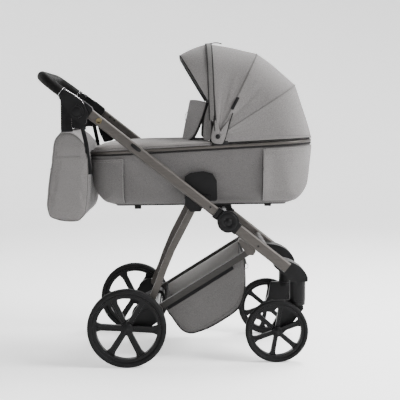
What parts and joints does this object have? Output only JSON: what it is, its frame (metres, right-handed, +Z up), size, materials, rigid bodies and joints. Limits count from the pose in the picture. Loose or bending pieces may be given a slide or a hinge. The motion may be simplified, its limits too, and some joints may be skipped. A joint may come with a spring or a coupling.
{
  "type": "baby stroller",
  "caption": "Folding pram: carrycot with a hinged hood and apron on an aluminium frame with swivel front wheels, sprung rear wheels, basket and changing bag.",
  "frame": {"origin": "on the floor below the middle of the stroller", "axes": "+X is the direction of travel, +Z is up, +Y is the stroller's left side"},
  "size_m": [0.988, 0.6, 1.146],
  "materials": {
    "taupe_metal": "anodised, satin",
    "black_casting": "satin",
    "black_plastic": "fine texture",
    "steel": "satin",
    "bright_metal": "polished",
    "grip_leather": "grained",
    "grey_fabric": "woven melange",
    "light_lining": "soft jersey",
    "black_webbing": "woven webbing",
    "tyre": "matt",
    "rim_plastic": "satin",
    "rubber": "matt"
  },
  "bodies": {
    "front_chassis": {"front_tube_left": "taupe_metal", "front_tube_right": "taupe_metal", "front_elbow_left": "black_casting", "front_elbow_right": "black_casting", "fold_hub_outer_left": "black_plastic", "fold_hub_outer_right": "black_plastic", "link_bracket_left": "taupe_metal", "link_bracket_right": "taupe_metal", "fold_rod": "steel", "front_crossbar": "taupe_metal"},
    "upper_frame": {"upper_tube_left": "taupe_metal", "upper_tube_right": "taupe_metal", "fold_hub_inner_left": "black_plastic", "fold_hub_inner_right": "black_plastic", "leg_bracket_left": "black_plastic", "leg_bracket_right": "black_plastic", "cot_adapter_left": "black_plastic", "cot_adapter_right": "black_plastic", "handle_housing_left": "black_plastic", "handle_housing_right": "black_plastic"},
    "handlebar": {"handle_hub_left": "black_plastic", "handle_hub_right": "black_plastic", "handle_grip": "grip_leather", "handle_rings": "bright_metal"},
    "side_links": {"link_tube_left": "taupe_metal", "link_tube_right": "taupe_metal", "basket": "grey_fabric"},
    "rear_legs": {"rear_leg_left": "taupe_metal", "rear_leg_right": "taupe_metal", "rear_axle_tube": "steel"},
    "bag": {"bag_body": "grey_fabric", "bag_strap_left": "black_webbing", "bag_strap_right": "black_webbing"},
    "carrycot": {"cot_shell": "grey_fabric", "cot_band": "taupe_metal", "cot_feet": "rubber", "mattress": "light_lining", "hood_rear": "grey_fabric", "hood_pivot_left": "black_plastic", "hood_pivot_right": "black_plastic"},
    "apron": {"apron": "grey_fabric"},
    "wind_flap": {"wind_flap": "grey_fabric"},
    "hood_middle": {"hood_middle": "grey_fabric"},
    "hood_front": {"hood_front": "grey_fabric", "hood_visor": "grey_fabric"},
    "brake": {"brake_pedal": "black_plastic"},
    "handle_button_left": {"handle_button_left": "black_plastic"},
    "suspension_left": {"suspension_arm_left": "black_plastic"},
    "rear_wheel_left": {"rear_tyre_left": "tyre", "rear_rim_left": "rim_plastic"},
    "front_caster_left": {"front_fork_left": "black_casting"},
    "front_wheel_left": {"front_tyre_left": "tyre", "front_rim_left": "rim_plastic"},
    "handle_button_right": {"handle_button_right": "black_plastic"},
    "suspension_right": {"suspension_arm_right": "black_plastic"},
    "rear_wheel_right": {"rear_tyre_right": "tyre", "rear_rim_right": "rim_plastic"},
    "front_caster_right": {"front_fork_right": "black_casting"},
    "front_wheel_right": {"front_tyre_right": "tyre", "front_rim_right": "rim_plastic"}
  },
  "joints": [
    {"name": "fold", "type": "hinge", "parent": "front_chassis", "child": "upper_frame", "pos_m": [0.18, 0, 0.514], "axis": [0, 1, 0], "range_deg": [0, 30]},
    {"name": "side_link_fold", "type": "hinge", "parent": "front_chassis", "child": "side_links", "pos_m": [0.265, 0, 0.402], "axis": [0, 1, 0], "range_deg": [0, 16]},
    {"name": "rear_leg_fold", "type": "hinge", "parent": "side_links", "child": "rear_legs", "pos_m": [-0.072, 0, 0.19], "axis": [0, 1, 0], "range_deg": [-2, 0]},
    {"name": "handle_tilt", "type": "hinge", "parent": "upper_frame", "child": "handlebar", "pos_m": [-0.344, 0, 0.9], "axis": [0, 1, 0], "range_deg": [-30, 0]},
    {"name": "bag_hang", "type": "hinge", "parent": "handlebar", "child": "bag", "pos_m": [-0.386, 0, 0.935], "axis": [0, 1, 0], "range_deg": [0, 30]},
    {"name": "carrycot_lift", "type": "slide", "parent": "upper_frame", "child": "carrycot", "axis": [0, 0, 1], "range_m": [0, 0.3]},
    {"name": "apron_lift", "type": "hinge", "parent": "carrycot", "child": "apron", "pos_m": [-0.3215, 0, 0.7562], "axis": [0, 1, 0], "range_deg": [-55, 0]},
    {"name": "wind_flap_fold", "type": "hinge", "parent": "apron", "child": "wind_flap", "pos_m": [0.022, 0, 0.7965], "axis": [0, 1, 0], "range_deg": [-60, 0]},
    {"name": "hood_middle_fold", "type": "hinge", "parent": "carrycot", "child": "hood_middle", "pos_m": [0.145, 0, 0.812], "axis": [0, 1, 0], "range_deg": [0, 28]},
    {"name": "hood_front_fold", "type": "hinge", "parent": "hood_middle", "child": "hood_front", "pos_m": [0.145, 0, 0.812], "axis": [0, 1, 0], "range_deg": [0, 28]},
    {"name": "brake_press", "type": "hinge", "parent": "rear_legs", "child": "brake", "pos_m": [-0.072, 0, 0.19], "axis": [0, 1, 0], "range_deg": [-12, 0]},
    {"name": "handle_button_left_press", "type": "slide", "parent": "handlebar", "child": "handle_button_left", "axis": [0, -1, 0], "range_m": [0, 0.004], "stiffness_N_per_m": 1500, "springref_m": -0.002},
    {"name": "suspension_left", "type": "hinge", "parent": "rear_legs", "child": "suspension_left", "pos_m": [-0.072, 0.243, 0.19], "axis": [0, 1, 0], "range_deg": [0, 8], "stiffness_Nm_per_rad": 60, "springref_deg": -17.19},
    {"name": "rear_wheel_left_spin", "type": "hinge", "parent": "suspension_left", "child": "rear_wheel_left", "pos_m": [-0.177, 0.282, 0.14], "axis": [0, 1, 0], "continuous": true},
    {"name": "front_caster_left_swivel", "type": "hinge", "parent": "front_chassis", "child": "front_caster_left", "pos_m": [0.435, 0.188, 0.22], "axis": [0, 0, 1], "continuous": true},
    {"name": "front_wheel_left_spin", "type": "hinge", "parent": "front_caster_left", "child": "front_wheel_left", "pos_m": [0.358, 0.217, 0.113], "axis": [0, 1, 0], "continuous": true},
    {"name": "handle_button_right_press", "type": "slide", "parent": "handlebar", "child": "handle_button_right", "axis": [0, 1, 0], "range_m": [0, 0.004], "stiffness_N_per_m": 1500, "springref_m": -0.002},
    {"name": "suspension_right", "type": "hinge", "parent": "rear_legs", "child": "suspension_right", "pos_m": [-0.072, -0.243, 0.19], "axis": [0, 1, 0], "range_deg": [0, 8], "stiffness_Nm_per_rad": 60, "springref_deg": -17.19},
    {"name": "rear_wheel_right_spin", "type": "hinge", "parent": "suspension_right", "child": "rear_wheel_right", "pos_m": [-0.177, -0.282, 0.14], "axis": [0, 1, 0], "continuous": true},
    {"name": "front_caster_right_swivel", "type": "hinge", "parent": "front_chassis", "child": "front_caster_right", "pos_m": [0.435, -0.188, 0.22], "axis": [0, 0, 1], "continuous": true},
    {"name": "front_wheel_right_spin", "type": "hinge", "parent": "front_caster_right", "child": "front_wheel_right", "pos_m": [0.358, -0.217, 0.113], "axis": [0, 1, 0], "continuous": true}
  ],
  "couplings": [
    {"joint": "side_link_fold", "follows": "fold", "ratio": 0.5085},
    {"joint": "rear_leg_fold", "follows": "fold", "ratio": -0.054},
    {"joint": "bag_hang", "follows": "handle_tilt", "ratio": -1},
    {"joint": "hood_front_fold", "follows": "hood_middle_fold", "ratio": 1}
  ]
}
